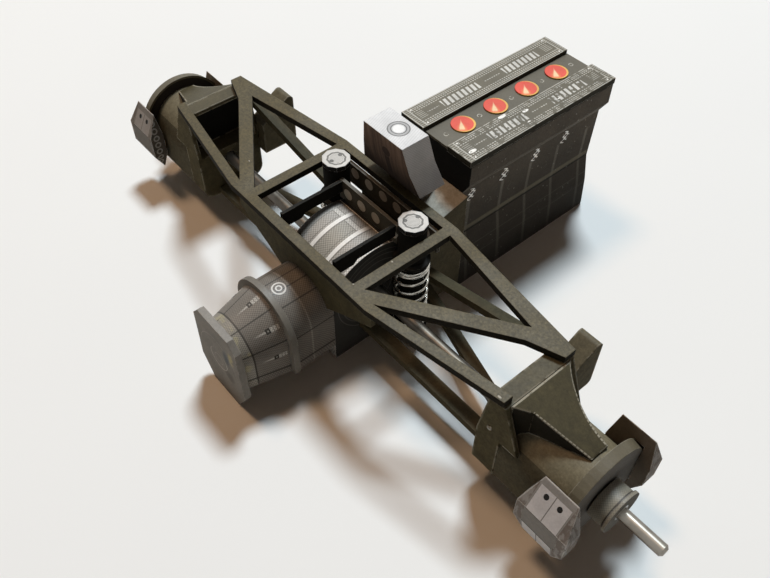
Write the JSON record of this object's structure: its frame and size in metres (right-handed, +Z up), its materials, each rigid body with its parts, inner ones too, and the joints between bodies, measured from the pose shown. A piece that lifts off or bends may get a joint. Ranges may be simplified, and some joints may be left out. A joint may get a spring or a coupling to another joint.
{
  "type": "card scale model of a racing car rear end",
  "caption": "Table-top card model of a single-seater's rear end: engine, gearbox, flat top frame, coil-over dampers, uprights and turning steel stub axles.",
  "frame": {"origin": "on the table top, under the middle of the axle line, on the underside of the final drive casing", "axes": "+X to the car's right, +Y forward to the engine, +Z up; the model stands as it does on a table"},
  "size_m": [0.0842, 0.0529, 0.0242],
  "materials": {
    "olive_card": "matte printed card, dark olive grey",
    "black_card": "matte printed card, black",
    "grey_print_card": "satin printed card, grey halftone",
    "white_card": "satin printed card, off-white",
    "orange_print": "satin print, orange red",
    "steel_rod": "drawn bright steel rod",
    "spring_wire": "bright wound spring wire"
  },
  "bodies": {
    "model": {"axle_housing_left": "olive_card", "axle_housing_right": "olive_card", "bell_housing": "olive_card", "caliper_front_left": "grey_print_card", "caliper_front_right": "grey_print_card", "caliper_rear_left": "grey_print_card", "caliper_rear_right": "grey_print_card", "cam_cover_left": "olive_card", "cam_cover_right": "olive_card", "casing": "grey_print_card", "damper_cap_left": "white_card", "damper_cap_right": "white_card", "damper_left": "black_card", "damper_right": "black_card", "disc_left": "olive_card", "disc_right": "olive_card", "duct_left": "olive_card", "duct_right": "olive_card", "end_plate": "grey_print_card", "engine_block": "olive_card", "fin_left": "olive_card", "fin_right": "olive_card", "flange_ring": "grey_print_card", "gearbox_barrel": "grey_print_card", "gearbox_tail": "grey_print_card", "lower_wishbone_left": "olive_card", "lower_wishbone_right": "olive_card", "plug_discs": "orange_print", "plug_strip": "olive_card", "rear_box": "grey_print_card", "spring_left": "spring_wire", "spring_right": "spring_wire", "strap_left": "black_card", "strap_right": "black_card", "top_frame": "olive_card", "upper_link_left": "olive_card", "upper_link_right": "olive_card", "upright_left": "olive_card", "upright_right": "olive_card", "wall_front": "black_card", "wall_rear": "black_card", "web_plate": "olive_card"},
    "axle_left": {"driveshaft_left": "steel_rod", "hub_nose_left": "grey_print_card", "stub_axle_left": "steel_rod"},
    "axle_right": {"driveshaft_right": "steel_rod", "hub_nose_right": "grey_print_card", "stub_axle_right": "steel_rod"}
  },
  "joints": [
    {"name": "axle_right_spin", "type": "hinge", "parent": "model", "child": "axle_right", "pos_m": [0.036, 0, 0.008], "axis": [1, 0, 0], "continuous": true},
    {"name": "axle_left_spin", "type": "hinge", "parent": "model", "child": "axle_left", "pos_m": [-0.036, 0, 0.008], "axis": [1, 0, 0], "continuous": true}
  ]
}
